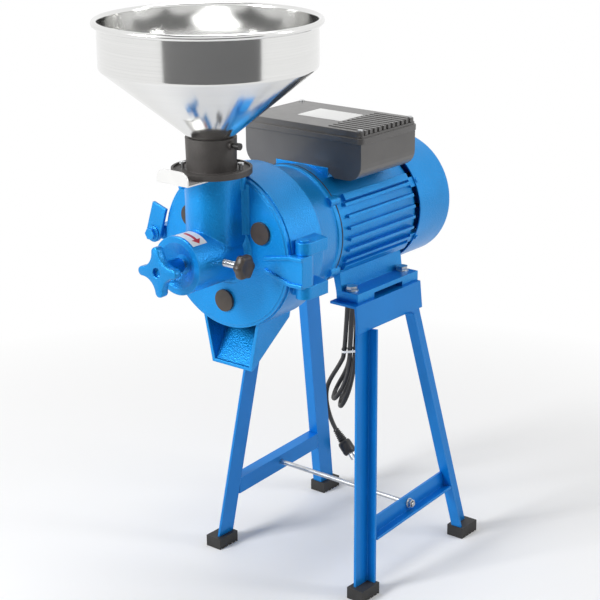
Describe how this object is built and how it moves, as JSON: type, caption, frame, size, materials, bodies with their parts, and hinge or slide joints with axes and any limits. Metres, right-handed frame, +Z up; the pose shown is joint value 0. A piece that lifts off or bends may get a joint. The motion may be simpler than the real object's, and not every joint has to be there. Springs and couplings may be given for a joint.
{
  "type": "electric grain mill",
  "caption": "Electric disc mill for grain on a splayed angle-iron stand, with a steel hopper, a swing-open grinding head, adjustable discs and a finned motor.",
  "frame": {"origin": "on the floor, under the middle of the machine, its cord left out", "axes": "+Z up; +Y along the motor shaft from the grinding head to the fan; +X towards the hinge side of the cover"},
  "size_m": [0.33, 0.663, 0.9065],
  "materials": {
    "blue_paint": "hammered gloss paint",
    "stand_paint": "smooth gloss paint",
    "mirror_steel": "polished",
    "zinc": "zinc plated",
    "steel": "machined",
    "dark_iron": "dark matt",
    "box_plastic": "satin",
    "black_plastic": "satin",
    "brown_plastic": "satin",
    "white_plastic": "matt",
    "copper": "enamelled wire",
    "rubber": "matt",
    "cord": "satin"
  },
  "bodies": {
    "frame": {"left_rail": "stand_paint", "right_rail": "stand_paint", "left_front_leg": "stand_paint", "left_rear_leg": "stand_paint", "right_front_leg": "stand_paint", "right_rear_leg": "stand_paint", "left_crossbar": "stand_paint", "right_crossbar": "stand_paint", "rubber_feet": "rubber", "tie_rod": "zinc", "tie_rod_nuts": "zinc", "foot_bolts": "zinc", "motor_housing": "blue_paint", "stator_core": "steel", "stator_windings": "copper", "front_end_shield": "blue_paint", "rear_end_shield": "blue_paint", "front_bearing": "steel", "rear_bearing": "steel", "fan_cover": "blue_paint", "motor_bolts": "blue_paint", "terminal_box": "box_plastic", "terminal_box_lid": "box_plastic", "lid_screws": "zinc", "capacitors": "black_plastic", "terminal_block": "white_plastic", "cable_gland": "black_plastic", "switch_bezel": "black_plastic", "grinder_housing": "blue_paint", "housing_bolts": "steel", "hinge_pin": "zinc", "clamp_bolt": "blue_paint", "shaft_seal": "rubber", "cord_lead": "cord", "cord_hank": "cord", "cord_tie": "white_plastic", "cord_tail": "cord", "plug": "cord"},
    "rotor": {"motor_shaft": "steel", "rotor_core": "steel", "cooling_fan": "black_plastic"},
    "disc_group": {"disc_carrier": "steel", "moving_disc": "dark_iron", "feed_auger": "dark_iron", "disc_spring": "steel"},
    "cover": {"front_cover": "blue_paint", "fixed_disc": "dark_iron", "disc_bolts": "brown_plastic", "hopper_neck": "dark_iron", "neck_screws": "zinc"},
    "thrust": {"thrust_pin": "steel"},
    "star": {"star_handle": "blue_paint"},
    "lock": {"lock_knob": "brown_plastic"},
    "gate": {"gate_plate": "zinc"},
    "hopper": {"hopper": "mirror_steel"},
    "thumbscrew": {"thumbscrew": "black_plastic"},
    "clamp": {"clamp_plate": "blue_paint"},
    "rocker": {"rocker_switch": "black_plastic"}
  },
  "joints": [
    {"name": "rotor_spin", "type": "hinge", "parent": "frame", "child": "rotor", "pos_m": [0, 0.1185, 0.57], "axis": [0, 1, 0], "continuous": true},
    {"name": "disc_slide", "type": "slide", "parent": "rotor", "child": "disc_group", "axis": [0, -1, 0], "range_m": [0, 0.003]},
    {"name": "cover_swing", "type": "hinge", "parent": "frame", "child": "cover", "pos_m": [0.13, -0.1075, 0.57], "axis": [0, 0, 1], "range_deg": [0, 110]},
    {"name": "thrust_slide", "type": "slide", "parent": "cover", "child": "thrust", "axis": [0, -1, 0], "range_m": [0, 0.003]},
    {"name": "star_turn", "type": "hinge", "parent": "thrust", "child": "star", "pos_m": [0, -0.2645, 0.57], "axis": [0, -1, 0], "range_deg": [0, 540]},
    {"name": "lock_turn", "type": "hinge", "parent": "cover", "child": "lock", "pos_m": [0.07, -0.1765, 0.57], "axis": [1, 0, 0], "range_deg": [0, 360]},
    {"name": "gate_slide", "type": "slide", "parent": "cover", "child": "gate", "axis": [0, -1, 0], "range_m": [0, 0.062]},
    {"name": "hopper_lift", "type": "slide", "parent": "cover", "child": "hopper", "axis": [0, 0, 1], "range_m": [0, 0.06]},
    {"name": "thumbscrew_turn", "type": "hinge", "parent": "cover", "child": "thumbscrew", "pos_m": [0.046, -0.1525, 0.733], "axis": [1, 0, 0], "range_deg": [0, 720]},
    {"name": "clamp_turn", "type": "hinge", "parent": "frame", "child": "clamp", "pos_m": [-0.139, -0.1305, 0.572], "axis": [0, 1, 0], "range_deg": [-90, 32]},
    {"name": "rocker_tip", "type": "hinge", "parent": "frame", "child": "rocker", "pos_m": [0.05, 0.1825, 0.682], "axis": [1, 0, 0], "range_deg": [-18, 0]}
  ],
  "couplings": [
    {"joint": "star_turn", "follows": "thrust_slide", "rad_per_m": 3141.6},
    {"joint": "disc_slide", "follows": "thrust_slide", "ratio": 1}
  ]
}
